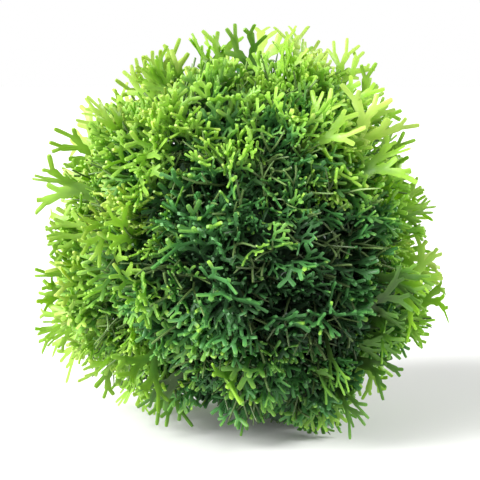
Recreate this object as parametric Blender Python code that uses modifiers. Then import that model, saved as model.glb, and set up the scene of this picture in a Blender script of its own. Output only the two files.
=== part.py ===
"""A riccia ball: a tangle of forked liverwort straps, pressed flat where it rests.

The tangle is one solid. Its matted body is a lumpy ball with a few broad shoulders, and forked
sprigs of straps stand out of it as far as the real tips reach.
Metres, +Z up. The origin is the middle of the flat spot that the ball rests on.
"""

import math
import random

import bmesh
import bpy
from mathutils import Matrix, Vector, noise

MM = 0.001

# Driving dimensions
BODY_RADIUS = 28.6 * MM
CENTRE_HEIGHT = 35 * MM
LARGE_STAND_OUT = 6.6 * MM
SMALL_STAND_OUT = 4.4 * MM
STRAP_WIDTH = 2.2 * MM
STRAP_THICKNESS = 1.1 * MM
CENTRE = Vector((0, 0, CENTRE_HEIGHT))
DOWN = Vector((0, 0, -1))

# Broad shoulders of the ball: azimuth and elevation seen from its centre, height, half angle
SHOULDERS = (
    ("lower_right", -12, -48, 1.8 * MM, 28),
    ("lower_left", 188, -36, 1.8 * MM, 28),
    ("upper_right", 10, 64, 1.8 * MM, 30),
    ("upper_left", 172, 58, 1.4 * MM, 30),
    ("left_tuft", 184, 14, 1.8 * MM, 14),
    ("right_tuft", -8, -20, 1.6 * MM, 20),
    ("front", -104, -8, 1.0 * MM, 34),
    ("back_left", 132, 12, 1.4 * MM, 30),
    ("back_right", 50, -6, 1.6 * MM, 30),
)

# Lumps of the matted body
BODY_SUBDIVISIONS = 4
LUMP_HEIGHT = 1.8 * MM
LUMPS_PER_RADIUS = 2.6
TUFT_HEIGHT = 3.4 * MM
TUFTS_PER_RADIUS = 8.0

# The body sags onto the surface below it, and is flat there
REST_SAG = 8.6 * MM
REST_HALF_ANGLE = 60
CUTTER_SIDE = 100 * MM

# Sprigs
SPRIG_COUNT = 122
LOWEST_SPRIG_ELEVATION = -64
DIRECTION_JITTER = 0.10
LEAN = 0.28
ROOT_DEPTH = 2.4 * MM
REACH_SPREAD = 1.0 * MM
LARGE_LENGTH_SHARES = (0.44, 0.37, 0.34)
SMALL_LENGTH_SHARES = (0.62, 0.48)
FLARE = 1.5
CHILD_WIDTH = 0.84
TIP_WIDTH = 0.74
CROTCH_ADVANCE = 0.35
FORK_HALF_ANGLE = math.radians(33)
FORK_SPREAD = math.radians(7)
CURL = math.radians(12)
TWIST = math.radians(26)
SEED = 5

PLANT_GREEN = (0.17, 0.42, 0.05, 1)
PLANT_ROUGHNESS = 0.45


def direction_at(azimuth, elevation):
    """The unit vector at an azimuth and an elevation, both in degrees."""
    turn, rise = math.radians(azimuth), math.radians(elevation)
    return Vector((math.cos(turn) * math.cos(rise), math.sin(turn) * math.cos(rise), math.sin(rise)))


def swell(direction, middle, half_angle):
    """A smooth bump: 1 at its middle direction, 0 from half_angle degrees away."""
    share = direction.angle(middle) / math.radians(half_angle)
    return 0.0 if share >= 1 else (1 + math.cos(math.pi * share)) / 2


def body_reach(direction):
    """The body's radius in a direction, before it is cut flat underneath."""
    reach = BODY_RADIUS + REST_SAG * swell(direction, DOWN, REST_HALF_ANGLE)
    reach += LUMP_HEIGHT * noise.noise(direction * LUMPS_PER_RADIUS)
    for _, azimuth, elevation, height, half_angle in SHOULDERS:
        reach += height * swell(direction, direction_at(azimuth, elevation), half_angle)
    return reach


def new_object(name, bm, collection):
    """An object made from a bmesh, which is freed."""
    mesh = bpy.data.meshes.new(name)
    bm.to_mesh(mesh)
    bm.free()
    obj = bpy.data.objects.new(name, mesh)
    collection.objects.link(obj)
    return obj


def as_helper(obj):
    """Marks an object as a cutter or an operand, which is no part of the ball."""
    obj.hide_render = True
    obj.display_type = "WIRE"
    return obj


def matted_body(collection):
    """The lumpy ball that the sprigs grow from."""
    bm = bmesh.new()
    bmesh.ops.create_icosphere(bm, subdivisions=BODY_SUBDIVISIONS, radius=1)
    for vertex in bm.verts:
        direction = vertex.co.normalized()
        tuft = TUFT_HEIGHT * noise.noise(direction * TUFTS_PER_RADIUS)
        vertex.co = CENTRE + direction * (body_reach(direction) + tuft)
    return new_object("riccia_ball", bm, collection)


def extruded(bm, edge, ends):
    """Extrudes an edge, moves its copy's two corners to ends, and returns the copy."""
    corners = list(edge.verts)
    made = bmesh.ops.extrude_edge_only(bm, edges=[edge])["geom"]
    fresh = [part for part in made if isinstance(part, bmesh.types.BMVert)]
    for corner, end in zip(corners, ends):
        copy = next(vertex for vertex in fresh if bm.edges.get((corner, vertex)))
        copy.co = end
    return bm.edges.get(fresh)


def grow_strap(bm, edge, heading, side, width, lengths, rng):
    """Grows one strap from an edge, and forks its end while lengths are left."""
    start = (edge.verts[0].co + edge.verts[1].co) / 2
    end = start + heading * lengths[0]
    forks = len(lengths) > 1
    half = side * width * (FLARE if forks else TIP_WIDTH) / 2
    leftwards = (edge.verts[0].co - start).dot(side) < 0
    edge = extruded(bm, edge, (end - half, end + half) if leftwards else (end + half, end - half))
    if not forks:
        return
    other, crotch = bmesh.utils.edge_split(edge, edge.verts[0], 0.5)
    crotch.co += heading * width * CROTCH_ADVANCE
    normal = heading.cross(side)
    for prong in (edge, other):
        middle = (prong.verts[0].co + prong.verts[1].co) / 2
        turned = 1 if (middle - end).dot(side) > 0 else -1
        angle = turned * (FORK_HALF_ANGLE + rng.uniform(-FORK_SPREAD, FORK_SPREAD))
        turn = Matrix.Rotation(angle, 3, normal)
        bend = Matrix.Rotation(rng.uniform(-CURL, CURL), 3, turn @ side)
        onward = bend @ turn @ heading
        twisted = Matrix.Rotation(rng.uniform(-TWIST, TWIST), 3, onward) @ turn @ side
        grow_strap(bm, prong, onward, twisted, width * CHILD_WIDTH, lengths[1:], rng)


def sprig_directions(rng):
    """Evenly spread directions with a little jitter, none of them under the ball."""
    golden_turn = math.pi * (3 - math.sqrt(5))
    lowest = math.sin(math.radians(LOWEST_SPRIG_ELEVATION))
    for number in range(SPRIG_COUNT):
        height = 1 - (1 - lowest) * (number + 0.5) / SPRIG_COUNT
        ring = math.sqrt(1 - height * height)
        turn = golden_turn * number
        even = Vector((ring * math.cos(turn), ring * math.sin(turn), height))
        yield (even + Vector(rng.uniform(-DIRECTION_JITTER, DIRECTION_JITTER) for _ in "xyz")).normalized()


def sprigs(collection):
    """All the forked sprigs, as flat sheets that Solidify makes into straps."""
    rng = random.Random(SEED)
    bm = bmesh.new()
    kinds = ((LARGE_STAND_OUT, LARGE_LENGTH_SHARES), (SMALL_STAND_OUT, SMALL_LENGTH_SHARES))
    for number, direction in enumerate(sprig_directions(rng)):
        stand_out, shares = kinds[number % len(kinds)]
        length = ROOT_DEPTH + stand_out + rng.uniform(-REACH_SPREAD, REACH_SPREAD)
        lean = Vector(rng.uniform(-LEAN, LEAN) for _ in "xyz")
        heading = (direction + lean).normalized()
        side = Matrix.Rotation(rng.uniform(0, math.tau), 3, heading) @ heading.orthogonal().normalized()
        root = CENTRE + direction * (body_reach(direction) - ROOT_DEPTH)
        foot = [bm.verts.new(root + side * offset) for offset in (-STRAP_WIDTH / 2, STRAP_WIDTH / 2)]
        lengths = [length * share for share in shares]
        grow_strap(bm, bm.edges.new(foot), heading, side, STRAP_WIDTH, lengths, rng)
    obj = as_helper(new_object("sprigs", bm, collection))
    solid = obj.modifiers.new("strap_thickness", "SOLIDIFY")
    solid.thickness = STRAP_THICKNESS
    solid.offset = 0
    return obj


def below_the_surface(collection):
    """A block under the surface that the ball rests on."""
    bm = bmesh.new()
    bmesh.ops.create_cube(bm, size=CUTTER_SIDE)
    bmesh.ops.translate(bm, verts=bm.verts, vec=(0, 0, -CUTTER_SIDE / 2))
    return as_helper(new_object("below_the_surface", bm, collection))


def plant_material():
    """The even green of the living straps."""
    material = bpy.data.materials.new("riccia_green")
    material.use_nodes = True
    shader = material.node_tree.nodes["Principled BSDF"]
    shader.inputs["Base Color"].default_value = PLANT_GREEN
    shader.inputs["Roughness"].default_value = PLANT_ROUGHNESS
    shader.inputs["Metallic"].default_value = 0
    return material


def new_collection(name):
    """A collection in the scene."""
    collection = bpy.data.collections.new(name)
    bpy.context.scene.collection.children.link(collection)
    return collection


def build():
    """The riccia ball: body and sprigs joined, then cut flat where it rests."""
    for obj in list(bpy.data.objects):
        bpy.data.objects.remove(obj)
    parts = new_collection("riccia_ball")
    helpers = new_collection("helpers")
    ball = matted_body(parts)
    ball.data.materials.append(plant_material())
    joined = ball.modifiers.new("join_sprigs", "BOOLEAN")
    joined.operation = "UNION"
    joined.object = sprigs(helpers)
    joined.use_self = True
    flat = ball.modifiers.new("cut_rest_spot", "BOOLEAN")
    flat.operation = "DIFFERENCE"
    flat.object = below_the_surface(helpers)


build()
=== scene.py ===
"""A riccia ball: hundreds of small forked liverwort plants in a loose ball, dressed and lit."""

import logging
import math
import random
from dataclasses import dataclass, replace
from enum import Enum
from typing import Iterable, Iterator

import bmesh
import bpy
import numpy as np
from mathutils import Matrix, Vector, noise


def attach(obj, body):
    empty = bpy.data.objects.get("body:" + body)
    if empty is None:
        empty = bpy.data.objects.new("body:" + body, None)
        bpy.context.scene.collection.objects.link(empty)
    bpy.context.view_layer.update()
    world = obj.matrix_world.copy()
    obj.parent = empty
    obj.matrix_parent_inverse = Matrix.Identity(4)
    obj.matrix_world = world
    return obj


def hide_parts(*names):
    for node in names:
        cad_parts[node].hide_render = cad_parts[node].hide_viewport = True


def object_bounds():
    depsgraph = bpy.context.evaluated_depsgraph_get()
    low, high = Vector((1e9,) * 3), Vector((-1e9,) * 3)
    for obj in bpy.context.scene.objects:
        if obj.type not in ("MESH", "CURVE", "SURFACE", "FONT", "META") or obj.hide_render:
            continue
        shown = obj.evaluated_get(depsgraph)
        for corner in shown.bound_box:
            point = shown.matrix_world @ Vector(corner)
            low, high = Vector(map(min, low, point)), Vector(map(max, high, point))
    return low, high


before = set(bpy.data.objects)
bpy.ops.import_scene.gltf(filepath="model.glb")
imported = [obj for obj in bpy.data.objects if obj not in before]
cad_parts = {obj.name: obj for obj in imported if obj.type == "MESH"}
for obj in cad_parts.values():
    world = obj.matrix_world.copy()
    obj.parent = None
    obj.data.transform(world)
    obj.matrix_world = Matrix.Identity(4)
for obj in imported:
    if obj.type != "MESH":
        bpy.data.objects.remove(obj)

MM = 0.001
BODY = "root"
NODE = "riccia_ball"
CAD_BOX = [list(corner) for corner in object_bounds()]
CENTRE_HEIGHT = 35 * MM
CENTRE = Vector((0, 0, CENTRE_HEIGHT))
UP = Vector((0, 0, 1))
# The side that strap colours are painted lighter on, as if lit, and darker away from: painted light and
# shade. The coat is also densest there.
LIT_SIDE = Vector((-0.48, 0.60, 0.64))
STRAP_MARKS = ("along", "edge", "pale")
RIM_STRETCH = 2.5

Colour = tuple[float, float, float, float]
Ring = list[bmesh.types.BMVert]

log = logging.getLogger("riccia_ball")


def direction_at(azimuth: float, elevation: float) -> Vector:
    """Gives the direction from the ball's centre at two angles.

    Args:
        azimuth: Degrees from +X towards +Y.
        elevation: Degrees above level.

    Returns:
        The unit vector.
    """
    turn, rise = math.radians(azimuth), math.radians(elevation)
    return Vector((math.cos(turn) * math.cos(rise), math.sin(turn) * math.cos(rise), math.sin(rise)))


def new_object(name: str, bm: bmesh.types.BMesh, collection: bpy.types.Collection) -> bpy.types.Object:
    """Turns a bmesh into an object and frees it.

    Args:
        name: The object's name.
        bm: The mesh being built.
        collection: Where the object goes.

    Returns:
        The new object.
    """
    mesh = bpy.data.meshes.new(name)
    bm.to_mesh(mesh)
    bm.free()
    obj = bpy.data.objects.new(name, mesh)
    collection.objects.link(obj)
    return obj


def field_name(label: str) -> str:
    """Gives the name of the field that holds a node input's value: tuft_fan for Tuft Fan."""
    return label.lower().replace(" ", "_")


class NodeBench:
    """Adds nodes to one tree and wires them as they are added."""

    NUMBER_RESULTS = ("LENGTH", "DOT_PRODUCT")

    def __init__(self, tree: bpy.types.NodeTree) -> None:
        """Takes the tree that the nodes go into."""
        self.tree = tree

    def sockets(self, in_out: str, kind: str, *names: str) -> None:
        """Gives the tree named sockets of one kind, such as Float, on its INPUT or OUTPUT side."""
        for name in names:
            self.tree.interface.new_socket(name, in_out=in_out, socket_type=f"NodeSocket{kind}")

    def add(self, kind: str, values: dict | None = None, **settings: object) -> bpy.types.Node:
        """Adds one node.

        Args:
            kind: The node's type.
            values: By an input's name or number, the socket to wire to it or its constant value.
            **settings: The node's own settings.

        Returns:
            The new node.
        """
        node = self.tree.nodes.new(kind)
        for name, setting in settings.items():
            setattr(node, name, setting)
        for name, value in (values or {}).items():
            if isinstance(value, bpy.types.NodeSocket):
                self.tree.links.new(value, node.inputs[name])
            else:
                node.inputs[name].default_value = value
        return node

    def maths(self, operation: str, *values: object) -> bpy.types.NodeSocket:
        """Adds a Math node on some values or sockets and returns its result."""
        return self.add("ShaderNodeMath", dict(enumerate(values)), operation=operation).outputs[0]

    def vectors(self, operation: str, *values: object) -> bpy.types.NodeSocket:
        """Adds a Vector Math node on some vectors and returns its result, a number for NUMBER_RESULTS."""
        node = self.add("ShaderNodeVectorMath", dict(enumerate(values)), operation=operation)
        return node.outputs["Value" if operation in self.NUMBER_RESULTS else "Vector"]

    def ranged(
        self, value: object, span: tuple[object, object], to_low: object = 0.0, to_high: object = 1.0
    ) -> bpy.types.NodeSocket:
        """Maps a value from a span to another range, clamped, and returns the result."""
        return self.add("ShaderNodeMapRange", dict(enumerate((value, *span, to_low, to_high)))).outputs[0]

    def blend(self, share: object, first: object, second: object, **settings: object) -> bpy.types.NodeSocket:
        """Mixes two colours and returns the result."""
        values = {"Factor": share, 6: first, 7: second}
        return self.add("ShaderNodeMix", values, data_type="RGBA", **settings).outputs[2]


@dataclass(frozen=True)
class Spot:
    """A round place on the ball, whose amount is felt in full in its middle and fades to its edge.

    Its middle is azimuth degrees from +X towards +Y and elevation degrees above level, and it ends
    half_angle degrees from there.
    """

    azimuth: float
    elevation: float
    amount: float
    half_angle: float

    def at(self, direction: Vector) -> float:
        """Gives how much of the amount is felt in a direction.

        Args:
            direction: A unit vector from the centre.

        Returns:
            The amount in the spot's middle, falling smoothly to 0 at its edge.
        """
        share = direction.angle(direction_at(self.azimuth, self.elevation)) / math.radians(self.half_angle)
        felt = 0.0 if share >= 1 else (1 + math.cos(math.pi * share)) / 2
        return self.amount * felt


@dataclass(frozen=True)
class Swell(Spot):
    """A broad shoulder of the ball, as high as its amount, or a dent where that is below zero."""

    stretch: float = 1.0

    def at(self, direction: Vector) -> float:
        """Gives the height that the swell adds in a direction; stretch draws it out from front to back."""
        drawn = Vector((direction.x, direction.y / self.stretch, direction.z)).normalized()
        return super().at(drawn)


class Hollow(Spot):
    """A place where the coat is thinner by its amount, and the older stems show in the shade."""

    def at(self, direction: Vector) -> float:
        """Gives the share of fronds that stay in a direction."""
        return 1 - super().at(direction)


class Patch(Spot):
    """A place whose colour is lighter by its amount, or darker where that is below zero: partly painted light
    and shade, partly younger or older growth.
    """


@dataclass(frozen=True)
class BallForm:
    """The ball's outer form, as far as the tips reach, where its coat is thin, and where its colour is
    painted lighter or darker.
    """

    radius: float = 36.4 * MM
    lump_height: float = 2.4 * MM
    lumps_per_radius: float = 3.0
    subdivisions: int = 5
    hollow_depth: float = 2.2 * MM
    openness_on_the_rim: float = 0.55
    openness_by_side: float = 0.80
    swells: tuple[Swell, ...] = (
        Swell(132, 12, 1.4 * MM, 30),
        Swell(50, -6, 1.6 * MM, 30),
        Swell(-104, -8, 1.0 * MM, 34),
        Swell(-20, -84, 2.2 * MM, 40),
        Swell(-100, -76, -3.6 * MM, 22),
        Swell(0, 20, -3.2 * MM, 28, RIM_STRETCH),
        Swell(0, 66, 2.6 * MM, 22, RIM_STRETCH),
        Swell(180, 60, -1.8 * MM, 13, RIM_STRETCH),
        Swell(180, 40, 1.6 * MM, 10, RIM_STRETCH),
        Swell(180, 28, -2.6 * MM, 8, RIM_STRETCH),
        Swell(180, 18, 1.8 * MM, 10, RIM_STRETCH),
        Swell(180, 1, -6.6 * MM, 14, RIM_STRETCH),
        Swell(180, -32, 5.6 * MM, 19, RIM_STRETCH),
        Swell(180, -78, -3.0 * MM, 18, RIM_STRETCH),
        Swell(0, -62, 5.8 * MM, 22, RIM_STRETCH),
        Swell(0, -40, -7.0 * MM, 10, RIM_STRETCH),
        Swell(0, -28, 6.2 * MM, 13, RIM_STRETCH),
        Swell(0, -8, -2.4 * MM, 10, RIM_STRETCH),
    )
    hollows: tuple[Hollow, ...] = (
        Hollow(-72, -16, 0.60, 15),
        Hollow(-58, -2, 0.75, 18),
        Hollow(-106, -14, 0.45, 11),
        Hollow(-112, 30, 0.75, 11),
        Hollow(-84, 22, 0.30, 10),
        Hollow(-106, -34, 0.55, 12),
        Hollow(-52, -42, 0.65, 15),
        Hollow(-30, 40, 0.45, 12),
        Hollow(25, 10, 0.70, 16),
        Hollow(70, -25, 0.75, 16),
        Hollow(104, 22, 0.80, 16),
        Hollow(150, -12, 0.70, 15),
        Hollow(60, 62, 0.60, 15),
        Hollow(205, 6, 0.50, 12),
    )
    # Painted light and shade, partly older or younger growth: each patch makes the colour lighter or darker,
    # such as the darker underside and the lighter right rim.
    patches: tuple[Patch, ...] = (
        Patch(-65, -6, -0.38, 28),
        Patch(-46, -38, -0.28, 26),
        Patch(-88, -4, -0.12, 46),
        Patch(-142, 0, 0.16, 44),
        Patch(-82, 20, 0.12, 24),
        Patch(-92, -40, 0.10, 22),
        Patch(-150, -38, 0.42, 26),
        Patch(-128, 14, 0.16, 26),
        Patch(-48, 34, 0.38, 30),
        Patch(-14, 2, 0.40, 44),
        Patch(0, 46, 0.12, 36),
        Patch(-90, 90, -0.18, 36),
        Patch(-90, -90, -0.34, 46),
    )

    def reach(self, direction: Vector) -> float:
        """Gives how far the tips reach in a direction.

        Args:
            direction: A unit vector from the centre.

        Returns:
            The distance from the centre to the tips.
        """
        lumps = self.lump_height * noise.noise(direction * self.lumps_per_radius)
        dip = self.hollow_depth * (1 - self.fullness(direction))
        return self.radius + lumps - dip + sum(swell.at(direction) for swell in self.swells)

    def fullness(self, direction: Vector) -> float:
        """Gives the share of the coat's fronds that grow in a direction."""
        return math.prod(hollow.at(direction) for hollow in self.hollows)

    def painted_light_and_age(self, direction: Vector) -> float:
        """Gives how much lighter than usual the colour is in a direction, from painted light and shade and
        from younger or older growth.
        """
        return sum(patch.at(direction) for patch in self.patches)

    def openness(self, direction: Vector) -> float:
        """Gives how open the coat is in a direction: 0 where it faces the light, to 1 on the shaded side."""
        openness = self.openness_on_the_rim - self.openness_by_side * direction.dot(LIT_SIDE)
        return min(max(openness, 0.0), 1.0)

    def shell(self, name: str, depth: float, few: tuple[Hollow, ...] = ()) -> bpy.types.Object:
        """Makes a closed surface at a depth under the tips.

        Args:
            name: The object's name.
            depth: How far under the tips it lies.
            few: Hollows of its own, which thin what is planted there but leave its shape as it is.

        Returns:
            The surface. Its attribute "fullness" has the share of fronds that grow there, "openness" has
            how wide the gaps between them are, and "freshness" has how much lighter their colour is: partly
            painted light and shade, partly younger or older growth.
        """
        bm = bmesh.new()
        bmesh.ops.create_icosphere(bm, subdivisions=self.subdivisions, radius=1)
        fullness = bm.verts.layers.float.new("fullness")
        openness = bm.verts.layers.float.new("openness")
        painted_light_and_age = bm.verts.layers.float.new("painted_light_and_age")
        for vertex in bm.verts:
            direction = vertex.co.normalized()
            vertex.co = CENTRE + direction * (self.reach(direction) - depth)
            vertex[fullness] = self.fullness(direction) * math.prod(place.at(direction) for place in few)
            vertex[openness] = self.openness(direction)
            vertex[painted_light_and_age] = self.painted_light_and_age(direction)
        return new_object(name, bm, bpy.context.scene.collection)


@dataclass(frozen=True)
class Bearing:
    """How far a strap has grown: its place, the way it grows, and its flat side."""

    place: Vector
    heading: Vector
    side: Vector

    @property
    def normal(self) -> Vector:
        """The way that the strap's flat upper face looks."""
        return self.side.cross(self.heading)

    def turned(self, angle: float, axis: Vector) -> "Bearing":
        """Turns the heading and the side about an axis."""
        turn = Matrix.Rotation(angle, 3, axis)
        return Bearing(self.place, turn @ self.heading, turn @ self.side)

    def ahead(self, distance: float) -> "Bearing":
        """Moves the place along the heading."""
        return Bearing(self.place + self.heading * distance, self.heading, self.side)

    def towards(self, wanted: Vector, share: float) -> "Bearing":
        """Bends the heading part of the way to a wanted direction.

        Args:
            wanted: The unit vector that it bends towards.
            share: How much of the way it goes, from 0 to 1.

        Returns:
            The bent bearing, with its side still square to its heading.
        """
        heading = self.heading.lerp(wanted, share).normalized()
        side = (self.side - heading * self.side.dot(heading)).normalized()
        return Bearing(self.place, heading, side)


@dataclass(frozen=True)
class Frond:
    """One small plant: a flat strap that forks again and again, to blunt tips.

    Its mesh has three marks on each point, which the finish reads: "along" goes from 0 at the root to
    1 at the tips, "edge" is 1 on the strap's two thin edges, and "pale" is 1 on some of the tips.
    """

    name: str
    seed: int
    reach: float = 12.2 * MM
    lengths: tuple[float, ...] = (3.0 * MM, 2.3 * MM, 1.9 * MM, 1.7 * MM, 1.45 * MM)
    width: float = 0.96 * MM
    thickness: float = 0.60 * MM
    narrowing: float = 0.95
    length_spread: float = 0.25
    tip_spread: float = 0.42
    fork_half_angle: float = math.radians(34)
    fork_spread: float = math.radians(9)
    twist: float = math.radians(34)
    curl: float = math.radians(26)
    uprightness: float = 0.15
    early_tip: float = 0.12
    first_tip_level: int = 2
    pale_share: float = 0.06
    fork_flare: float = 1.12
    crotch_ahead: float = 0.52
    strap_steps: tuple[float, ...] = (0.45, 0.55)
    bent_levels: int = 2
    tip_steps: tuple[float, ...] = (0.80, 0.20)
    tip_widths: tuple[float, ...] = (1.06, 0.80)

    @property
    def length(self) -> float:
        """The length from the root to the tips along the strap."""
        return sum(self.lengths)

    def kinds(self, count: int) -> Iterator["Frond"]:
        """Gives kinds of this frond, each with a name and a seed of its own."""
        for number in range(count):
            yield replace(self, name=f"{self.name}_{number}", seed=self.seed + number)

    def build(self, collection: bpy.types.Collection) -> bpy.types.Object:
        """Grows the plant up from the origin, its furthest tip just at its reach.

        Args:
            collection: Where the object goes.

        Returns:
            The plant.
        """
        rng = random.Random(self.seed)
        bm = bmesh.new()
        for mark in STRAP_MARKS:
            bm.verts.layers.float.new(mark)
        start = Bearing(Vector(), UP.copy(), Vector((1, 0, 0)))
        root = self.ring(bm, start, self.width, 0.0)
        bm.faces.new(reversed(root))
        self.grow(bm, root, start, self.width, 0, rng)
        furthest = max(vertex.co.length for vertex in bm.verts)
        bmesh.ops.scale(bm, verts=bm.verts, vec=Vector((1, 1, 1)) * self.reach / furthest)
        self.shade(bm)
        return new_object(self.name, bm, collection)

    @staticmethod
    def shade(bm: bmesh.types.BMesh) -> None:
        """Shades the flat sides smooth, with a crisp line along the strap's two thin edges.

        Args:
            bm: The mesh being built.
        """
        edge_mark = bm.verts.layers.float["edge"]
        for face in bm.faces:
            face.smooth = True
        for edge in bm.edges:
            if all(vertex[edge_mark] == 1.0 for vertex in edge.verts):
                edge.smooth = False

    @staticmethod
    def corner(bm: bmesh.types.BMesh, place: Vector, *marks: float) -> bmesh.types.BMVert:
        """Adds a point.

        Args:
            bm: The mesh being built.
            place: Where the point is.
            *marks: Its marks, in the order of STRAP_MARKS; those left out are 0.

        Returns:
            The point.
        """
        vertex = bm.verts.new(place)
        for name, value in zip(STRAP_MARKS, marks):
            vertex[bm.verts.layers.float[name]] = value
        return vertex

    def ring(
        self, bm: bmesh.types.BMesh, at: Bearing, width: float, along: float, pale: float = 0.0
    ) -> Ring:
        """Adds the four corners of the strap's section.

        Args:
            bm: The mesh being built.
            at: The bearing in the section's middle.
            width: The strap's width there.
            along: The corners' mark "along".
            pale: The corners' mark "pale".

        Returns:
            The left, top, right and lower corner.
        """
        half, rise = at.side * width / 2, at.normal * self.thickness / 2
        return [
            self.corner(bm, at.place + offset, along, edge, pale)
            for offset, edge in ((-half, 1.0), (rise, 0.0), (half, 1.0), (-rise, 0.0))
        ]

    def grow(
        self, bm: bmesh.types.BMesh, ring: Ring, at: Bearing, width: float, level: int, rng: random.Random
    ) -> None:
        """Grows one stretch of strap from a ring, and then its tip or its fork.

        Args:
            bm: The mesh being built.
            ring: The four corners that the stretch starts from.
            at: The bearing there.
            width: The strap's width.
            level: The number of forks below this stretch.
            rng: The plant's own random numbers.
        """
        last = level == len(self.lengths) - 1
        tip = last or (level >= self.first_tip_level and rng.random() < self.early_tip)
        spread = self.tip_spread if last else self.length_spread
        length = self.lengths[level] * (1 + rng.uniform(-spread, spread))
        twist = rng.uniform(-self.twist, self.twist)
        curl = rng.uniform(-self.curl, self.curl)
        pale = float(tip and rng.random() < self.pale_share)
        straight = level >= self.bent_levels
        steps = self.tip_steps if tip else (1.0,) if straight else self.strap_steps
        widths = self.tip_widths if tip else (1.0,) * (len(steps) - 1) + (self.fork_flare,)
        below = sum(self.lengths[:level]) / self.length
        share = self.lengths[level] / self.length
        gone = 0.0
        for step, wide in zip(steps, widths):
            at = at.turned(twist * step, at.heading).turned(curl * step, at.side).ahead(length * step)
            gone += step
            along = 1.0 if tip else below + share * gone
            ring = self.joined(bm, ring, self.ring(bm, at, width * wide, along, pale * gone))
        if tip:
            for edge in bm.faces.new(ring).edges:
                edge.smooth = False
        else:
            self.fork(bm, ring, at, width, level, rng)

    @staticmethod
    def joined(bm: bmesh.types.BMesh, low: Ring, high: Ring) -> Ring:
        """Joins two rings with four faces.

        Args:
            bm: The mesh being built.
            low: The ring nearer the root.
            high: The ring nearer the tips.

        Returns:
            The higher ring.
        """
        for corner in range(len(low)):
            following = (corner + 1) % len(low)
            bm.faces.new((low[corner], low[following], high[following], high[corner]))
        return high

    def fork(
        self, bm: bmesh.types.BMesh, ring: Ring, at: Bearing, width: float, level: int, rng: random.Random
    ) -> None:
        """Splits the strap's end into two prongs that share the crotch between them.

        Args:
            bm: The mesh being built.
            ring: The four corners of the strap's end.
            at: The bearing there.
            width: The strap's width below the fork.
            level: The number of forks below this one.
            rng: The plant's own random numbers.
        """
        left, top, right, under = ring
        along = sum(self.lengths[: level + 1]) / self.length
        crotch = self.corner(bm, at.place + at.heading * width * self.crotch_ahead, along, 1.0)
        narrow = width * self.narrowing
        prongs = []
        for way in (1, -1):
            angle = way * (self.fork_half_angle + rng.uniform(-self.fork_spread, self.fork_spread))
            prong = at.turned(angle, at.normal)
            outwards = -prong.side * way * narrow / 2
            prong = Bearing(crotch.co + outwards, prong.heading, prong.side)
            rise = prong.normal * self.thickness / 2
            outer = self.corner(bm, prong.place + outwards, along, 1.0)
            above = self.corner(bm, prong.place + rise, along, 0.0)
            beneath = self.corner(bm, prong.place - rise, along, 0.0)
            prongs.append((prong, outer, above, beneath))
        (first, first_out, first_top, first_under), (second, second_out, second_top, second_under) = prongs
        for corners in (
            (left, top, first_top, first_out),
            (top, right, second_out, second_top),
            (top, second_top, crotch, first_top),
            (left, first_out, first_under, under),
            (under, second_under, second_out, right),
            (under, first_under, crotch, second_under),
        ):
            bm.faces.new(corners)
        first_ring = [first_out, first_top, crotch, first_under]
        second_ring = [crotch, second_top, second_out, second_under]
        for prong, prong_ring in ((first, first_ring), (second, second_ring)):
            self.grow(bm, prong_ring, prong.towards(UP, self.uprightness), narrow, level + 1, rng)


def grow_shelf(name: str, kinds: Iterable[Frond]) -> bpy.types.Collection:
    """Grows the kinds of frond that a coat is planted with.

    Args:
        name: The shelf's name.
        kinds: The kinds of frond.

    Returns:
        The shelf, a collection that holds one plant of each kind.
    """
    shelf = bpy.data.collections.new(name)
    for kind in kinds:
        kind.build(shelf)
    return shelf


class Draw(Enum):
    """A random choice that is made for each frond, and what it adds to the coat's seed."""

    LEAN = 1
    TURN = 2
    SIZE = 3
    KIND = 4
    TONE = 5


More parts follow.
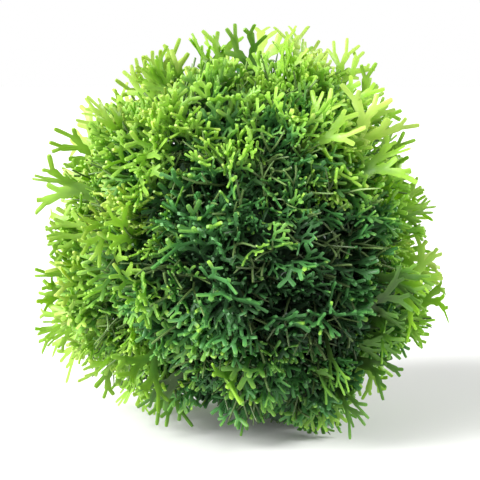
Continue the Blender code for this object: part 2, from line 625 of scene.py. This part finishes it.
class ScatterTree:
    """The node tree that plants fronds all over a surface, close together in tufts.

    Distances from a tuft's middle are in tuft widths. Over GAP_SPAN the fronds get fewer towards the
    tuft's rim, and over FALL_SPAN they get shorter. Each square of the surface whose side is the
    spacing gets CANDIDATES points, of which those too close to another are dropped.
    """

    NUMBERS = (
        "Spacing",
        "Lean",
        "Least Size",
        "Tufts per Metre",
        "Tuft Fall",
        "Tuft Fan",
        "Tuft Drop",
        "Gap Share",
        "Hollow Share",
        "Dense Share",
        "Side Turn",
    )
    SEED = "Seed"
    TUFT_SHIFT = 0.1
    CANDIDATES = 4.0
    GAP_SPAN = (0.34, 0.62)
    FALL_SPAN = (0.15, 0.75)
    TALL_TUFTS_RARITY = 1.6
    OWN_TONE = 0.6
    TONE_SPREAD = (-0.5, 0.5)
    HIGHEST_KIND = 999
    FIRST_SOCKETS = {"FLOAT_VECTOR": 0, "FLOAT": 2, "INT": 4}

    def __init__(self) -> None:
        """Builds the tree with its named inputs."""
        self.tree = bpy.data.node_groups.new("plant_fronds", "GeometryNodeTree")
        self.bench = NodeBench(self.tree)
        self.bench.sockets("INPUT", "Geometry", "Surface")
        self.bench.sockets("INPUT", "Collection", "Fronds")
        self.bench.sockets("INPUT", "Material", "Finish")
        self.bench.sockets("INPUT", "Float", *self.NUMBERS)
        self.bench.sockets("INPUT", "Int", self.SEED)
        self.bench.sockets("OUTPUT", "Geometry", "Coat")
        self.given = self.bench.add("NodeGroupInput").outputs
        self.lay_out()

    def draw(self, what: Draw, kind: str, low: object, high: object) -> bpy.types.NodeSocket:
        """Adds a random value for each point.

        Args:
            what: What the value is for.
            kind: FLOAT, INT or FLOAT_VECTOR.
            low: The least value, or the socket that gives it.
            high: The most, or the socket that gives it.

        Returns:
            The value's socket.
        """
        first = self.FIRST_SOCKETS[kind]
        seed = self.bench.maths("ADD", self.given[self.SEED], float(what.value))
        values = {first: low, first + 1: high, "Seed": seed}
        return self.bench.add("FunctionNodeRandomValue", values, data_type=kind).outputs[first // 2]

    def read(self, name: str) -> bpy.types.NodeSocket:
        """Reads one of the numbers that the surface carries."""
        return self.bench.add("GeometryNodeInputNamedAttribute", {"Name": name}, data_type="FLOAT").outputs[0]

    def plenty(self, off_middle: bpy.types.NodeSocket) -> bpy.types.NodeSocket:
        """Works out how many of the fronds grow at a place.

        Args:
            off_middle: How far the place is from its tuft's middle.

        Returns:
            Their share: less than 1 between tufts, in hollows, and where the coat is closed anyway.
        """
        maths, ranged, given = self.bench.maths, self.bench.ranged, self.given
        fullness, openness = self.read("fullness"), self.read("openness")
        gap = maths("MULTIPLY", given["Gap Share"], openness)
        tufted = ranged(off_middle, self.GAP_SPAN, 1.0, maths("SUBTRACT", 1.0, gap))
        kept = ranged(fullness, (0.0, 1.0), maths("SUBTRACT", 1.0, given["Hollow Share"]), 1.0)
        needed = ranged(openness, (0.0, 1.0), given["Dense Share"], 1.0)
        return maths("MULTIPLY", maths("MULTIPLY", tufted, kept), needed)

    def turned_on(self, rotation: bpy.types.NodeSocket, angles: bpy.types.NodeSocket) -> bpy.types.NodeSocket:
        """Turns a rotation further about its own axes.

        Args:
            rotation: The rotation so far.
            angles: How far it turns about each axis.

        Returns:
            The rotation's socket.
        """
        turn = self.bench.add("FunctionNodeEulerToRotation", {0: angles}).outputs[0]
        values = {0: rotation, 1: turn}
        return self.bench.add("FunctionNodeRotateRotation", values, rotation_space="LOCAL").outputs[0]

    def stance(self, outwards: bpy.types.NodeSocket, normal: bpy.types.NodeSocket) -> bpy.types.NodeSocket:
        """Works out how each frond stands: fanned out of its tuft, leaning and turned a little at random.

        Args:
            outwards: The way from its tuft's middle to it.
            normal: The way that the surface looks there.

        Returns:
            The rotation's socket.
        """
        add, maths, given = self.bench.add, self.bench.maths, self.given
        fan = maths("MULTIPLY", given["Tuft Fan"], given["Tufts per Metre"])
        fanned = self.bench.vectors("MULTIPLY_ADD", outwards, fan, normal)
        upright = add("FunctionNodeAlignRotationToVector", {"Vector": fanned}, axis="Z").outputs[0]
        back = maths("MULTIPLY", given["Lean"], -1.0)
        least_lean = add("ShaderNodeCombineXYZ", {"X": back, "Y": back}).outputs[0]
        most_lean = add("ShaderNodeCombineXYZ", {"X": given["Lean"], "Y": given["Lean"]}).outputs[0]
        lean = self.draw(Draw.LEAN, "FLOAT_VECTOR", least_lean, most_lean)
        across = add("ShaderNodeSeparateXYZ", {0: fanned}).outputs
        least_turn = maths("MULTIPLY", given["Side Turn"], -1.0)
        own_turn = self.draw(Draw.TURN, "FLOAT", least_turn, given["Side Turn"])
        turn = maths("ADD", maths("ARCTAN2", across[1], across[0]), own_turn)
        spin = add("ShaderNodeCombineXYZ", {"Z": turn}).outputs[0]
        return self.turned_on(self.turned_on(upright, lean), spin)

    def lay_out(self) -> None:
        """Adds the tree's nodes: spread, tone, sink, size, turn, realize and finish."""
        add, maths, given = self.bench.add, self.bench.maths, self.given
        place = add("GeometryNodeInputPosition").outputs[0]
        shifted = self.bench.vectors("ADD", place, maths("MULTIPLY", given[self.SEED], self.TUFT_SHIFT))
        tufts = add("ShaderNodeTexVoronoi", {"Vector": shifted, "Scale": given["Tufts per Metre"]}).outputs
        chances = add("ShaderNodeSeparateXYZ", {0: tufts["Color"]}).outputs
        spread = add(
            "GeometryNodeDistributePointsOnFaces",
            {
                "Mesh": given["Surface"],
                "Distance Min": given["Spacing"],
                "Density Max": maths("DIVIDE", self.CANDIDATES, maths("POWER", given["Spacing"], 2.0)),
                "Density Factor": self.plenty(tufts["Distance"]),
                "Seed": given[self.SEED],
            },
            distribute_method="POISSON",
        ).outputs
        own_tone = self.draw(Draw.TONE, "FLOAT", *self.TONE_SPREAD)
        toned = add(
            "GeometryNodeStoreNamedAttribute",
            {
                "Geometry": spread["Points"],
                "Name": "tone",
                "Value": maths("MULTIPLY_ADD", own_tone, self.OWN_TONE, chances[1]),
            },
            data_type="FLOAT",
            domain="POINT",
        )
        tall = maths("SUBTRACT", maths("POWER", chances[0], self.TALL_TUFTS_RARITY), 1.0)
        sunk = maths("MULTIPLY", tall, given["Tuft Drop"])
        drop = add("ShaderNodeVectorMath", {0: spread["Normal"], "Scale": sunk}, operation="SCALE")
        placed = add("GeometryNodeSetPosition", {"Geometry": toned.outputs[0], "Offset": drop.outputs[0]})
        shortest = maths("SUBTRACT", 1.0, given["Tuft Fall"])
        rounded = self.bench.ranged(tufts["Distance"], self.FALL_SPAN, 1.0, shortest)
        own_size = self.draw(Draw.SIZE, "FLOAT", given["Least Size"], 1.0)
        kinds = add("GeometryNodeCollectionInfo", {0: given["Fronds"], 1: True, 2: True})
        outwards = self.bench.vectors("SUBTRACT", shifted, tufts["Position"])
        planted = add(
            "GeometryNodeInstanceOnPoints",
            {
                "Points": placed.outputs[0],
                "Instance": kinds.outputs[0],
                "Pick Instance": True,
                "Instance Index": self.draw(Draw.KIND, "INT", 0, self.HIGHEST_KIND),
                "Rotation": self.stance(outwards, spread["Normal"]),
                "Scale": maths("MULTIPLY", own_size, rounded),
            },
        )
        whole = add("GeometryNodeRealizeInstances", {0: planted.outputs[0]})
        finished = add("GeometryNodeSetMaterial", {"Geometry": whole.outputs[0], "Material": given["Finish"]})
        add("NodeGroupOutput", {0: finished.outputs[0]})

    def run(self, name: str, surface: bpy.types.Object, inputs: dict[str, object]) -> bpy.types.Object:
        """Plants a surface and turns the result into a plain mesh.

        Args:
            name: The piece's name.
            surface: The surface that is planted, which is removed afterwards.
            inputs: The values of the tree's inputs, by name.

        Returns:
            The piece, with no modifier left on it.
        """
        modifier = surface.modifiers.new("plant_fronds", "NODES")
        modifier.node_group = self.tree
        for item in self.tree.interface.items_tree:
            if item.name in inputs:
                modifier[item.identifier] = inputs[item.name]
        graph = bpy.context.evaluated_depsgraph_get()
        mesh = bpy.data.meshes.new_from_object(surface.evaluated_get(graph), depsgraph=graph)
        mesh.name = name
        bpy.data.objects.remove(surface)
        piece = bpy.data.objects.new(name, mesh)
        bpy.context.scene.collection.objects.link(piece)
        return piece


@dataclass(frozen=True)
class YouthAndLight:
    """How much each thing counts towards how light a strap's colour is, and over which values its colours
    change.

    along and pale make the younger tips lighter, tone and mottle vary it at random, and edge makes the
    thin edges lighter. depth is partly older growth and partly painted shade, darker towards the middle,
    and side is painted light and shade, lighter on the lit side and darker away from it.
    """

    # Partly older growth, partly painted shade: darker towards the middle.
    depth: float = 0.60
    along: float = 0.22
    edge: float = 0.12
    pale: float = 0.38
    tone: float = 0.44
    # Painted light and shade: lighter on the lit side, darker away from it.
    side: float = 0.30
    mottle: float = 0.48
    middle: float = 0.5
    old_to_grown: tuple[float, float] = (0.0, 0.35)
    grown_to_fresh: tuple[float, float] = (0.35, 0.75)
    fresh_to_pale: tuple[float, float] = (0.85, 1.10)


class StrapShading:
    """The shader node groups that every part of the ball shares."""

    COLOURS = ("Old", "Grown", "Fresh", "Pale")
    VALUES = ("Inner Radius", "Outer Radius", "Mottle per Metre")
    SKIN_VALUES = ("Cells per Metre", "Least Roughness", "Most Roughness")
    MOTTLE_DETAIL = 2.0
    CELL_DETAIL = 3.0
    CELL_SPAN = (0.3, 0.7)

    def __init__(self) -> None:
        """Builds the two groups."""
        self.colour = self.colour_group(YouthAndLight())
        self.grain = self.grain_group()

    @classmethod
    def colour_group(cls, youth_and_light: YouthAndLight) -> bpy.types.NodeTree:
        """Builds the group that colours a strap by its age and its own tone, and with painted light and shade
        by its place on the ball.

        Args:
            youth_and_light: How much each of them counts.

        Returns:
            The node group.
        """
        tree = bpy.data.node_groups.new("strap_colour", "ShaderNodeTree")
        bench = NodeBench(tree)
        bench.sockets("INPUT", "Color", *cls.COLOURS)
        bench.sockets("INPUT", "Vector", "Centre", "Lit Side")
        bench.sockets("INPUT", "Float", *cls.VALUES)
        bench.sockets("OUTPUT", "Color", "Colour")
        given = bench.add("NodeGroupInput").outputs
        place = bench.add("ShaderNodeTexCoord").outputs["Object"]
        outward = bench.vectors("SUBTRACT", place, given["Centre"])
        radius = bench.vectors("LENGTH", outward)
        # Partly older growth, partly painted shade: darker towards the middle.
        depth = bench.ranged(radius, (given["Inner Radius"], given["Outer Radius"]))
        # Painted light and shade: lighter on the lit side, darker away from it.
        side = bench.vectors("DOT_PRODUCT", bench.vectors("NORMALIZE", outward), given["Lit Side"])
        marks = {
            name: bench.add("ShaderNodeAttribute", attribute_name=name).outputs["Fac"]
            for name in (*STRAP_MARKS, "tone", "painted_light_and_age")
        }
        mottling = {"Vector": place, "Scale": given["Mottle per Metre"], "Detail": cls.MOTTLE_DETAIL}
        mottle = bench.maths("SUBTRACT", bench.add("ShaderNodeTexNoise", mottling).outputs[0], youth_and_light.middle)
        tone = bench.maths("SUBTRACT", marks["tone"], youth_and_light.middle)
        # The patches add painted light and shade, partly younger or older growth.
        total = bench.maths("MULTIPLY_ADD", depth, youth_and_light.depth, marks["painted_light_and_age"])
        for name in STRAP_MARKS:
            total = bench.maths("MULTIPLY_ADD", marks[name], getattr(youth_and_light, name), total)
        for thing, share in ((tone, youth_and_light.tone), (side, youth_and_light.side), (mottle, youth_and_light.mottle)):
            total = bench.maths("MULTIPLY_ADD", thing, share, total)
        spans = (youth_and_light.old_to_grown, youth_and_light.grown_to_fresh, youth_and_light.fresh_to_pale)
        colour, *later = (given[name] for name in cls.COLOURS)
        for span, younger in zip(spans, later):
            colour = bench.blend(bench.ranged(total, span), colour, younger)
        bench.add("NodeGroupOutput", {0: colour})
        return tree

    @classmethod
    def grain_group(cls) -> bpy.types.NodeTree:
        """Builds the group that gives the cells of a strap's skin, as a height and a roughness.

        Returns:
            The node group.
        """
        tree = bpy.data.node_groups.new("strap_grain", "ShaderNodeTree")
        bench = NodeBench(tree)
        bench.sockets("INPUT", "Float", *cls.SKIN_VALUES)
        bench.sockets("OUTPUT", "Float", "Height", "Roughness")
        given = bench.add("NodeGroupInput").outputs
        place = bench.add("ShaderNodeTexCoord").outputs["Object"]
        grain = {"Vector": place, "Scale": given["Cells per Metre"], "Detail": cls.CELL_DETAIL}
        cells = bench.add("ShaderNodeTexNoise", grain).outputs[0]
        roughness = bench.ranged(cells, cls.CELL_SPAN, given["Least Roughness"], given["Most Roughness"])
        bench.add("NodeGroupOutput", {0: cells, 1: roughness})
        return tree


@dataclass(frozen=True)
class StrapFinish:
    """A living finish: four colours from old to pale, a moist skin, and how much light goes through."""

    name: str
    old: Colour
    grown: Colour
    fresh: Colour
    pale: Colour
    through: float = 0.51
    through_tint: Colour = (1.0, 0.92, 0.50, 1)
    least_roughness: float = 0.28
    most_roughness: float = 0.50
    cells_per_metre: float = 2600.0
    mottle_per_metre: float = 160.0
    cell_height: float = 0.03 * MM
    inner_radius: float = 22 * MM
    outer_radius: float = 37 * MM

    def shared(self, bench: NodeBench, group: bpy.types.NodeTree, *labels: str) -> bpy.types.Node:
        """Places a shared group with this finish's own values.

        Args:
            bench: The material's nodes.
            group: The shared group.
            *labels: Its inputs that take the value of a field of this finish.

        Returns:
            The group's node.
        """
        node = bench.add("ShaderNodeGroup", node_tree=group)
        for label in labels:
            node.inputs[label].default_value = getattr(self, field_name(label))
        return node

    def build(self, shading: StrapShading) -> bpy.types.Material:
        """Builds the material.

        Args:
            shading: The groups that it shares with the other finishes.

        Returns:
            The material.
        """
        material = bpy.data.materials.new(self.name)
        material.use_nodes = True
        material.node_tree.nodes.clear()
        bench = NodeBench(material.node_tree)
        colour = self.shared(bench, shading.colour, *shading.COLOURS, *shading.VALUES)
        colour.inputs["Centre"].default_value = CENTRE
        colour.inputs["Lit Side"].default_value = LIT_SIDE
        grain = self.shared(bench, shading.grain, *shading.SKIN_VALUES)
        relief = {"Height": grain.outputs["Height"], "Distance": self.cell_height}
        skin = bench.add(
            "ShaderNodeBsdfPrincipled",
            {
                "Base Color": colour.outputs["Colour"],
                "Roughness": grain.outputs["Roughness"],
                "Normal": bench.add("ShaderNodeBump", relief).outputs["Normal"],
            },
        )
        tinted = bench.blend(1.0, colour.outputs["Colour"], self.through_tint, blend_type="MULTIPLY")
        glow = bench.add("ShaderNodeBsdfTranslucent", {"Color": tinted})
        both = bench.add("ShaderNodeMixShader", {0: self.through, 1: skin.outputs[0], 2: glow.outputs[0]})
        bench.add("ShaderNodeOutputMaterial", {"Surface": both.outputs[0]})
        return material


class Zone(Enum):
    """The six sides of the ball's coat, each a piece of its own."""

    CROWN = "crown_fronds"
    FRONT = "front_fronds"
    RIGHT = "right_fronds"
    BACK = "back_fronds"
    LEFT = "left_fronds"
    UNDER = "under_fronds"

    @staticmethod
    def of(direction: Vector, edge_rise: float = 0.70) -> "Zone":
        """Tells which zone a direction from the centre is in.

        Args:
            direction: A unit vector.
            edge_rise: How high or low it points where the crown and the underside begin.

        Returns:
            The zone.
        """
        rise = direction.z
        if abs(rise) > edge_rise:
            return Zone.CROWN if rise > 0 else Zone.UNDER
        if abs(direction.x) > abs(direction.y):
            return Zone.RIGHT if direction.x > 0 else Zone.LEFT
        return Zone.BACK if direction.y > 0 else Zone.FRONT


@dataclass(frozen=True)
class Coat:
    """How one layer of fronds is planted.

    The fronds stand at a depth under the tips, about a spacing apart, and lean and turn at random by
    up to lean and side_turn. Towards a tuft's rim they are shorter by tuft_fall, fanned out by
    tuft_fan and fewer by gap_share. Tufts are sunk by up to tuft_drop. hollow_share is how far the
    hollows thin the coat, and dense_share is how many of its fronds the side facing the light keeps.
    """

    depth: float
    spacing: float
    lean: float
    least_size: float
    seed: int
    tufts_per_metre: float = 118.0
    tuft_fall: float = 0.0
    tuft_fan: float = 0.0
    tuft_drop: float = 0.0
    gap_share: float = 0.0
    hollow_share: float = 0.0
    dense_share: float = 1.0
    side_turn: float = math.pi

    def inputs(self, fronds: bpy.types.Collection, finish: bpy.types.Material) -> dict[str, object]:
        """Gives the values of the planting tree's inputs, by name."""
        values = {name: getattr(self, field_name(name)) for name in (*ScatterTree.NUMBERS, ScatterTree.SEED)}
        return {"Fronds": fronds, "Finish": finish, **values}


def keep_in_box(piece: bpy.types.Object, margin: float = 2 * MM) -> None:
    """Bends back what would pass a side of the ball's box, the floor among them.

    Args:
        piece: The piece that is kept inside.
        margin: How far inside each side the bending begins.
    """
    vertices = piece.data.vertices
    places = np.empty(len(vertices) * 3, np.float32)
    vertices.foreach_get("co", places)
    places = places.reshape(-1, 3)
    low, high = np.array(CAD_BOX, np.float32)
    for side, inwards in ((low, 1), (high, -1)):
        inside = (places - side) * inwards
        bent = margin * np.exp(np.minimum(inside - margin, 0) / margin)
        places[:] = np.where(inside < margin, side + bent * inwards, places)
    vertices.foreach_set("co", places.ravel())
    piece.data.update()


def settle(piece: bpy.types.Object) -> None:
    """Keeps a finished piece in the box, tells the frame what it rides on, and hides the plain solid that it
    stands for.

    Args:
        piece: The finished piece, which stands for the plain solid together with the others.
    """
    keep_in_box(piece)
    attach(piece, BODY)
    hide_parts(NODE)
    log.info("%s: %d triangles", piece.name, sum(len(face.vertices) - 2 for face in piece.data.polygons))


@dataclass
class FrondCoats:
    """The living coat: six zones of bright fronds over a darker inner layer."""

    form: BallForm
    tree: ScatterTree
    kinds: int = 26
    inner_kinds: int = 12
    frond: Frond = Frond("frond_kind", 100)
    inner_frond: Frond = Frond(
        "inner_kind",
        200,
        reach=11.0 * MM,
        lengths=(3.6 * MM, 3.0 * MM, 2.6 * MM, 2.2 * MM),
        tip_steps=(1.0,),
        tip_widths=(0.9,),
    )
    finger_spread: tuple[float, float] = (0.80, 1.60)
    width_spread: tuple[float, float] = (0.92, 1.20)
    fork_angles: tuple[float, float] = (math.radians(26), math.radians(38))
    twists: tuple[float, float] = (math.radians(15), math.radians(48))
    outer: Coat = Coat(
        depth=10.8 * MM,
        spacing=1.76 * MM,
        lean=math.radians(34),
        least_size=0.84,
        seed=33,
        tufts_per_metre=165.0,
        tuft_fall=0.44,
        tuft_fan=0.60,
        tuft_drop=4.2 * MM,
        gap_share=0.74,
        hollow_share=1.0,
        dense_share=0.80,
    )
    inner: Coat = Coat(
        depth=17.2 * MM, spacing=2.4 * MM, lean=math.radians(46), least_size=0.75, seed=47, dense_share=0.25
    )

    def outer_kinds(self) -> Iterator[Frond]:
        """Varies the outer coat's kinds of frond, some with longer fingers.

        Yields:
            Each kind.
        """
        rng = random.Random(self.outer.seed)
        for kind in self.frond.kinds(self.kinds):
            finger = rng.uniform(*self.finger_spread)
            *stalk, fork, tip = kind.lengths
            yield replace(
                kind,
                lengths=(*stalk, fork * finger, tip * finger),
                width=kind.width * rng.uniform(*self.width_spread),
                fork_half_angle=rng.uniform(*self.fork_angles),
                twist=rng.uniform(*self.twists),
            )

    def zone_surface(self, zone: Zone) -> bpy.types.Object:
        """Makes the part of the outer planting surface that is in one zone.

        Args:
            zone: The zone.

        Returns:
            The surface, open where the other zones begin.
        """
        surface = self.form.shell(f"{zone.value}_surface", self.outer.depth)
        bm = bmesh.new()
        bm.from_mesh(surface.data)
        outside = []
        for face in bm.faces:
            direction = (face.calc_center_median() - CENTRE).normalized()
            if Zone.of(direction) != zone:
                outside.append(face)
        bmesh.ops.delete(bm, geom=outside, context="FACES")
        bm.to_mesh(surface.data)
        bm.free()
        return surface

    def build(self, bright: bpy.types.Material, shaded: bpy.types.Material) -> Iterator[bpy.types.Object]:
        """Plants every zone and the inner layer.

        Args:
            bright: The outer fronds' finish.
            shaded: The inner fronds' finish.

        Yields:
            Each piece.
        """
        shelf = grow_shelf("frond_kinds", self.outer_kinds())
        for zone in Zone:
            yield self.tree.run(zone.value, self.zone_surface(zone), self.outer.inputs(shelf, bright))
        shelf = grow_shelf("inner_frond_kinds", self.inner_frond.kinds(self.inner_kinds))
        surface = self.form.shell("inner_surface", self.inner.depth)
        yield self.tree.run("inner_fronds", surface, self.inner.inputs(shelf, shaded))


@dataclass
class StandingFronds:
    """The few long fronds that stand out of the coat and make its outline ragged.

    They are flat, and their first forks lie close above each other and make a webbed palm.
    """

    form: BallForm
    tree: ScatterTree
    kinds: int = 24
    frond: Frond = Frond(
        "long_kind",
        400,
        reach=15.4 * MM,
        lengths=(7.6 * MM, 2.1 * MM, 2.2 * MM, 2.6 * MM),
        width=2.15 * MM,
        thickness=0.52 * MM,
        narrowing=0.74,
        fork_flare=1.50,
        crotch_ahead=0.85,
        fork_half_angle=math.radians(27),
        twist=math.radians(10),
        length_spread=0.35,
        tip_spread=0.6,
        early_tip=0.22,
        pale_share=0.05,
    )
    coat: Coat = Coat(
        depth=12.3 * MM,
        spacing=4.0 * MM,
        lean=math.radians(26),
        least_size=0.80,
        seed=54,
        hollow_share=1.0,
        side_turn=math.radians(38),
    )
    few: tuple[Hollow, ...] = (
        Hollow(-90, 4, 0.98, 88),
        Hollow(-90, 4, 0.96, 105),
        Hollow(-90, -90, 0.98, 56),
    )

    def build(self, finish: bpy.types.Material) -> bpy.types.Object:
        """Grows the kinds of long frond and plants them.

        Args:
            finish: Their finish.

        Returns:
            The piece.
        """
        shelf = grow_shelf("long_kinds", self.frond.kinds(self.kinds))
        surface = self.form.shell("standing_surface", self.coat.depth, self.few)
        return self.tree.run("standing_fronds", surface, self.coat.inputs(shelf, finish))


@dataclass
class OldStems:
    """The older bare stems, which run crosswise in the gaps between the fronds."""

    form: BallForm
    tree: ScatterTree
    kinds: int = 10
    stem: Frond = Frond(
        "stem_kind",
        300,
        reach=11.0 * MM,
        lengths=(8.0 * MM, 6.5 * MM),
        width=0.46 * MM,
        fork_half_angle=math.radians(20),
        fork_flare=1.1,
        curl=math.radians(55),
        uprightness=0.0,
        early_tip=0.0,
        pale_share=0.0,
        strap_steps=(0.3, 0.35, 0.35),
        tip_steps=(0.4, 0.4, 0.2),
        tip_widths=(1.0, 0.9, 0.5),
    )
    coat: Coat = Coat(depth=13.6 * MM, spacing=2.15 * MM, lean=math.radians(68), least_size=0.70, seed=83)

    def build(self, finish: bpy.types.Material) -> bpy.types.Object:
        """Grows the kinds of stem and lays them in the ball.

        Args:
            finish: The stems' finish.

        Returns:
            The piece.
        """
        shelf = grow_shelf("stem_kinds", self.stem.kinds(self.kinds))
        surface = self.form.shell("stem_surface", self.coat.depth)
        return self.tree.run("older_stems", surface, self.coat.inputs(shelf, finish))


@dataclass
class MattedHeart:
    """The middle of the ball, where the oldest straps are matted too close to tell apart."""

    form: BallForm
    depth: float = 19.0 * MM
    tuft_height: float = 3.2 * MM
    tufts_per_metre: float = 260.0
    foot: Swell = Swell(-90, -90, 14.0 * MM, 62)

    def build(self, finish: bpy.types.Material) -> bpy.types.Object:
        """Makes the lumpy middle.

        Args:
            finish: Its finish.

        Returns:
            The piece.
        """
        heart = self.form.shell("matted_heart", self.depth)
        for vertex in heart.data.vertices:
            direction = (vertex.co - CENTRE).normalized()
            tuft = self.tuft_height * noise.noise(vertex.co * self.tufts_per_metre)
            vertex.co += direction * (tuft + self.foot.at(direction))
        heart.data.materials.append(finish)
        heart.data.shade_smooth()
        return heart


@dataclass(frozen=True)
class Lamp:
    """A soft, distant white light."""

    name: str
    azimuth: float
    elevation: float
    strength: float
    softness: float

    def build(self) -> None:
        """Adds the lamp to the scene, shining at the ball."""
        light = bpy.data.lights.new(self.name, "SUN")
        light.energy = self.strength
        light.angle = math.radians(self.softness)
        lamp = bpy.data.objects.new(self.name, light)
        away = direction_at(self.azimuth, self.elevation)
        lamp.location = CENTRE + away
        lamp.rotation_euler = away.to_track_quat("Z", "Y").to_euler()
        bpy.context.scene.collection.objects.link(lamp)


@dataclass(frozen=True)
class Studio:
    """A pale floor, soft light and the camera at the photograph's viewing angle."""

    floor_side: float = 20.0
    floor_colour: Colour = (0.76, 0.76, 0.75, 1)
    floor_roughness: float = 0.9
    floor_shine: float = 0.2
    backdrop_colour: Colour = (1.0, 1.0, 1.0, 1)
    fill_strength: float = 0.36
    seen_strength: float = 1.0
    lens: float = 85.0
    sensor: float = 36.0
    nearest_seen: float = 0.01
    view_azimuth: float = -90.0
    view_elevation: float = 8.0
    ball_share: float = 409 / 480
    ball_width: float = 73.2 * MM
    aim_height: float = 34.8 * MM
    lamps: tuple[Lamp, ...] = (
        Lamp("key", 208, 32, 4.9, 28),
        Lamp("back_light", 10, 26, 4.2, 26),
        Lamp("front_fill", -146, 30, 2.8, 50),
    )

    def build(self) -> None:
        """Builds the floor, the light and the camera."""
        self.build_floor()
        self.build_world()
        for lamp in self.lamps:
            lamp.build()
        self.build_camera()
        bpy.context.scene.view_settings.view_transform = "Standard"

    def build_floor(self) -> None:
        """Lays the floor under the ball."""
        bm = bmesh.new()
        bmesh.ops.create_grid(bm, x_segments=1, y_segments=1, size=self.floor_side / 2)
        floor = new_object("floor", bm, bpy.context.scene.collection)
        material = bpy.data.materials.new("pale_floor")
        material.use_nodes = True
        shader = material.node_tree.nodes["Principled BSDF"]
        shader.inputs["Base Color"].default_value = self.floor_colour
        shader.inputs["Roughness"].default_value = self.floor_roughness
        shader.inputs["Specular IOR Level"].default_value = self.floor_shine
        floor.data.materials.append(material)

    def build_world(self) -> None:
        """Sets a pale backdrop that lights the ball more gently than it shows."""
        world = bpy.data.worlds.new("studio")
        world.use_nodes = True
        world.node_tree.nodes.clear()
        bench = NodeBench(world.node_tree)
        fill = bench.add("ShaderNodeBackground", {0: self.backdrop_colour, 1: self.fill_strength})
        seen = bench.add("ShaderNodeBackground", {0: self.backdrop_colour, 1: self.seen_strength})
        ray = bench.add("ShaderNodeLightPath").outputs["Is Camera Ray"]
        mixed = bench.add("ShaderNodeMixShader", {0: ray, 1: fill.outputs[0], 2: seen.outputs[0]})
        bench.add("ShaderNodeOutputWorld", {0: mixed.outputs[0]})
        bpy.context.scene.world = world

    def build_camera(self) -> None:
        """Places the camera so that the ball fills the frame as it does in the photograph."""
        lens = bpy.data.cameras.new("camera")
        lens.lens = self.lens
        lens.sensor_width = self.sensor
        lens.clip_start = self.nearest_seen
        camera = bpy.data.objects.new("camera", lens)
        seen_width = self.ball_width / self.ball_share
        distance = seen_width * self.lens / self.sensor
        away = direction_at(self.view_azimuth, self.view_elevation)
        camera.location = Vector((0, 0, self.aim_height)) + away * distance
        camera.rotation_euler = away.to_track_quat("Z", "Y").to_euler()
        bpy.context.scene.collection.objects.link(camera)
        bpy.context.scene.camera = camera


FRESH_FRONDS = StrapFinish(
    "fresh_fronds",
    old=(0.040, 0.115, 0.040, 1),
    grown=(0.125, 0.390, 0.110, 1),
    fresh=(0.430, 0.720, 0.115, 1),
    pale=(0.640, 0.820, 0.220, 1),
)
LONG_FRONDS = StrapFinish(
    "long_fronds",
    old=(0.062, 0.120, 0.030, 1),
    grown=(0.165, 0.375, 0.062, 1),
    fresh=(0.420, 0.700, 0.085, 1),
    pale=(0.560, 0.760, 0.160, 1),
)
# A darker copy of the fronds' colours for the inner layer: painted shade, partly older growth.
SHADED_FRONDS = StrapFinish(
    "shaded_fronds",
    old=(0.034, 0.082, 0.034, 1),
    grown=(0.064, 0.178, 0.058, 1),
    fresh=(0.120, 0.300, 0.070, 1),
    pale=(0.200, 0.420, 0.100, 1),
)
STEM_FINISH = StrapFinish(
    "older_stems",
    old=(0.070, 0.115, 0.036, 1),
    grown=(0.115, 0.190, 0.056, 1),
    fresh=(0.160, 0.270, 0.074, 1),
    pale=(0.230, 0.360, 0.096, 1),
    through=0.2,
)
# Its near-black greens are partly the matted old growth's own colour and partly painted shade, so the gaps
# look dark.
HEART_FINISH = StrapFinish(
    "matted_heart",
    old=(0.028, 0.070, 0.028, 1),
    grown=(0.034, 0.084, 0.032, 1),
    fresh=(0.032, 0.084, 0.028, 1),
    pale=(0.036, 0.094, 0.030, 1),
    through=0.0,
    least_roughness=0.9,
    most_roughness=1.0,
)


def main() -> None:
    """Builds the ball and the studio."""
    logging.basicConfig(level=logging.INFO, format="%(message)s")
    form = BallForm()
    shading = StrapShading()
    tree = ScatterTree()
    settle(MattedHeart(form).build(HEART_FINISH.build(shading)))
    settle(OldStems(form, tree).build(STEM_FINISH.build(shading)))
    coats = FrondCoats(form, tree).build(FRESH_FRONDS.build(shading), SHADED_FRONDS.build(shading))
    for piece in coats:
        settle(piece)
    settle(StandingFronds(form, tree).build(LONG_FRONDS.build(shading)))
    Studio().build()


if __name__ == "__main__":
    main()
